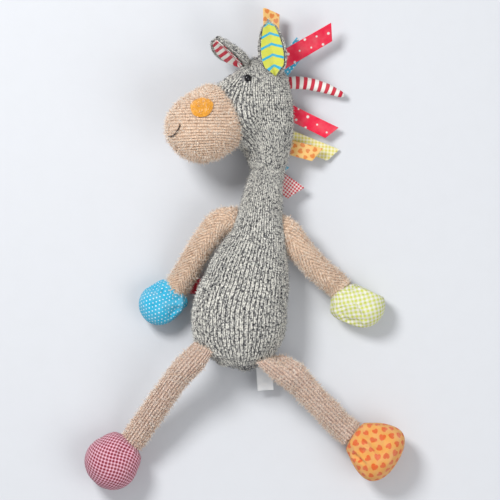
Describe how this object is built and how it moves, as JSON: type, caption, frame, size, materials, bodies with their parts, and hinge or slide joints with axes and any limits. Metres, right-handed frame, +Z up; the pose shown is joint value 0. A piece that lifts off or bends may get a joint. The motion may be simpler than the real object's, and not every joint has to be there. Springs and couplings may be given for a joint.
{
  "type": "plush animal",
  "caption": "Knitted plush animal with a long neck, patchwork ears, mane, hands and feet, lying on its back with floppy stuffed limbs.",
  "frame": {"origin": "middle of the flat that the surface under the toy presses into its back, below the belly", "axes": "+Z up out of the belly, +Y along the body towards the head, +X to the right as seen from above"},
  "size_m": [0.3044, 0.46, 0.0891],
  "materials": {
    "grey_knit": "marled rib knit, slightly fuzzy",
    "beige_knit": "brushed rib knit",
    "fibre_filling": "loose polyester fibre",
    "eye_plastic": "polished black",
    "washer_plastic": "moulded white",
    "orange_felt": "felt",
    "brown_thread": "embroidery thread",
    "lime_stripe": "printed cotton, lime with blue stripes",
    "red_stripe": "printed cotton, red and white stripes",
    "blue_dots": "printed cotton, blue with small white dots",
    "yellow_gingham": "woven cotton, yellow-green check",
    "red_gingham": "woven cotton, small red check",
    "orange_hearts": "printed cotton, orange with small hearts",
    "red_dots": "printed cotton, red with pin dots",
    "white_satin": "plain satin ribbon"
  },
  "bodies": {
    "torso": {"body_cover": "grey_knit", "body_filling": "fibre_filling", "care_label": "white_satin"},
    "head": {"head_cover": "grey_knit", "head_filling": "fibre_filling", "muzzle_cover": "beige_knit", "near_nostril": "orange_felt", "far_nostril": "orange_felt", "mouth_thread": "brown_thread", "near_eye": "eye_plastic", "far_eye": "eye_plastic", "near_eye_washer": "washer_plastic", "far_eye_washer": "washer_plastic"},
    "near_ear": {"near_ear_back": "grey_knit", "near_ear_lining": "lime_stripe"},
    "far_ear": {"far_ear_back": "grey_knit", "far_ear_lining": "red_stripe"},
    "left_arm": {"left_arm_cover": "beige_knit", "left_arm_filling": "fibre_filling"},
    "left_hand": {"left_hand_cover": "blue_dots", "left_hand_filling": "fibre_filling"},
    "right_arm": {"right_arm_cover": "beige_knit", "right_arm_filling": "fibre_filling"},
    "right_hand": {"right_hand_cover": "yellow_gingham", "right_hand_filling": "fibre_filling"},
    "left_leg": {"left_leg_cover": "beige_knit", "left_leg_filling": "fibre_filling"},
    "left_foot": {"left_foot_cover": "red_gingham", "left_foot_filling": "fibre_filling"},
    "right_leg": {"right_leg_cover": "beige_knit", "right_leg_filling": "fibre_filling"},
    "right_foot": {"right_foot_cover": "orange_hearts", "right_foot_filling": "fibre_filling"},
    "crown_orange_tab": {"crown_orange_tab": "orange_hearts"},
    "crown_red_tab": {"crown_red_tab": "red_dots"},
    "crown_blue_tab": {"crown_blue_tab": "blue_dots"},
    "striped_strand": {"striped_strand": "red_stripe"},
    "nape_red_tab": {"nape_red_tab": "red_dots"},
    "yellow_tab": {"yellow_tab": "yellow_gingham"},
    "nape_orange_tab": {"nape_orange_tab": "orange_hearts"},
    "nape_blue_tab": {"nape_blue_tab": "blue_dots"},
    "neck_gingham_tab": {"neck_gingham_tab": "red_gingham"},
    "tail_red_tab": {"tail_red_tab": "red_dots"},
    "tail_orange_tab": {"tail_orange_tab": "orange_hearts"}
  },
  "joints": [
    {"name": "neck_flop", "type": "hinge", "parent": "torso", "child": "head", "pos_m": [0.026, 0.13, 0.027], "axis": [0, 0, 1], "range_deg": [-18, 18]},
    {"name": "near_ear_flop", "type": "hinge", "parent": "head", "child": "near_ear", "pos_m": [0.03485, 0.22721, 0.04817], "axis": [-0.9944, -0.1057, -0.0003], "range_deg": [-40, 8], "stiffness_Nm_per_rad": 0.012},
    {"name": "far_ear_flop", "type": "hinge", "parent": "head", "child": "far_ear", "pos_m": [0.00104, 0.23329, 0.02726], "axis": [-0.642, 0.2905, -0.7095], "range_deg": [-4, 40], "stiffness_Nm_per_rad": 0.012},
    {"name": "left_shoulder_lift", "type": "hinge", "parent": "torso", "child": "left_arm", "pos_m": [-0.02038, 0.08496, 0.04768], "axis": [-0.848, 0.5299, 0], "range_deg": [0, 95]},
    {"name": "right_shoulder_lift", "type": "hinge", "parent": "torso", "child": "right_arm", "pos_m": [0.04731, 0.07439, 0.04801], "axis": [-0.7254, -0.6884, 0], "range_deg": [0, 95]},
    {"name": "left_wrist_flop", "type": "hinge", "parent": "left_arm", "child": "left_hand", "pos_m": [-0.05323, 0.03238, 0.017], "axis": [0, 0, 1], "range_deg": [-15, 5]},
    {"name": "right_wrist_flop", "type": "hinge", "parent": "right_arm", "child": "right_hand", "pos_m": [0.09274, 0.02651, 0.017], "axis": [0, 0, 1], "range_deg": [-15, 15]},
    {"name": "left_hip_lift", "type": "hinge", "parent": "torso", "child": "left_leg", "pos_m": [-0.03292, -0.03366, 0.05105], "axis": [-0.5846, 0.8113, 0], "range_deg": [0, 95]},
    {"name": "right_hip_lift", "type": "hinge", "parent": "torso", "child": "right_leg", "pos_m": [0.0276, -0.04307, 0.0471], "axis": [-0.8697, -0.4936, 0], "range_deg": [0, 95]},
    {"name": "left_ankle_flop", "type": "hinge", "parent": "left_leg", "child": "left_foot", "pos_m": [-0.09775, -0.11868, 0.024], "axis": [0, 0, 1], "range_deg": [-15, 15]},
    {"name": "right_ankle_flop", "type": "hinge", "parent": "right_leg", "child": "right_foot", "pos_m": [0.10087, -0.11088, 0.024], "axis": [0, 0, 1], "range_deg": [-15, 15]},
    {"name": "crown_orange_tab_flap", "type": "hinge", "parent": "head", "child": "crown_orange_tab", "pos_m": [0.03249, 0.23913, 0.02416], "axis": [-0.7645, 0.5371, 0.3565], "range_deg": [-8, 8], "stiffness_Nm_per_rad": 0.003},
    {"name": "crown_red_tab_flap", "type": "hinge", "parent": "head", "child": "crown_red_tab", "pos_m": [0.03676, 0.23683, 0.02769], "axis": [-0.7645, 0.5371, 0.3565], "range_deg": [-40, 0], "stiffness_Nm_per_rad": 0.003},
    {"name": "crown_blue_tab_flap", "type": "hinge", "parent": "head", "child": "crown_blue_tab", "pos_m": [0.04019, 0.22874, 0.01682], "axis": [-0.5258, 0.8145, 0.2452], "range_deg": [-8, 5], "stiffness_Nm_per_rad": 0.003},
    {"name": "striped_strand_flap", "type": "hinge", "parent": "head", "child": "striped_strand", "pos_m": [0.04761, 0.21349, 0.01665], "axis": [0, 1, 0], "range_deg": [-15, 3], "stiffness_Nm_per_rad": 0.003},
    {"name": "nape_red_tab_flap", "type": "hinge", "parent": "head", "child": "nape_red_tab", "pos_m": [0.05089, 0.18918, 0.01679], "axis": [-0.0257, 0.9996, 0.012], "range_deg": [-35, 4], "stiffness_Nm_per_rad": 0.003},
    {"name": "yellow_tab_flap", "type": "hinge", "parent": "head", "child": "yellow_tab", "pos_m": [0.04758, 0.1676, 0.0128], "axis": [0.0687, 0.9971, -0.032], "range_deg": [-4, 4], "stiffness_Nm_per_rad": 0.003},
    {"name": "nape_orange_tab_flap", "type": "hinge", "parent": "head", "child": "nape_orange_tab", "pos_m": [0.04918, 0.15658, 0.01977], "axis": [0.1603, 0.9842, -0.0748], "range_deg": [-35, 0], "stiffness_Nm_per_rad": 0.003},
    {"name": "nape_blue_tab_flap", "type": "hinge", "parent": "head", "child": "nape_blue_tab", "pos_m": [0.0437, 0.13988, 0.01627], "axis": [0.3189, 0.936, -0.1487], "range_deg": [-12, 4], "stiffness_Nm_per_rad": 0.003},
    {"name": "neck_gingham_tab_flap", "type": "hinge", "parent": "torso", "child": "neck_gingham_tab", "pos_m": [0.03829, 0.11635, 0.01937], "axis": [0.1278, 0.9918, 0], "range_deg": [-35, 10], "stiffness_Nm_per_rad": 0.003},
    {"name": "tail_red_tab_flap", "type": "hinge", "parent": "torso", "child": "tail_red_tab", "pos_m": [-0.0268, 0.02219, 0.00894], "axis": [-0.2601, -0.9656, 0], "range_deg": [-2, 8], "stiffness_Nm_per_rad": 0.003},
    {"name": "tail_orange_tab_flap", "type": "hinge", "parent": "torso", "child": "tail_orange_tab", "pos_m": [-0.03234, 0.02226, 0.01328], "axis": [-0.2431, -0.97, 0], "range_deg": [-8, 4], "stiffness_Nm_per_rad": 0.003}
  ]
}
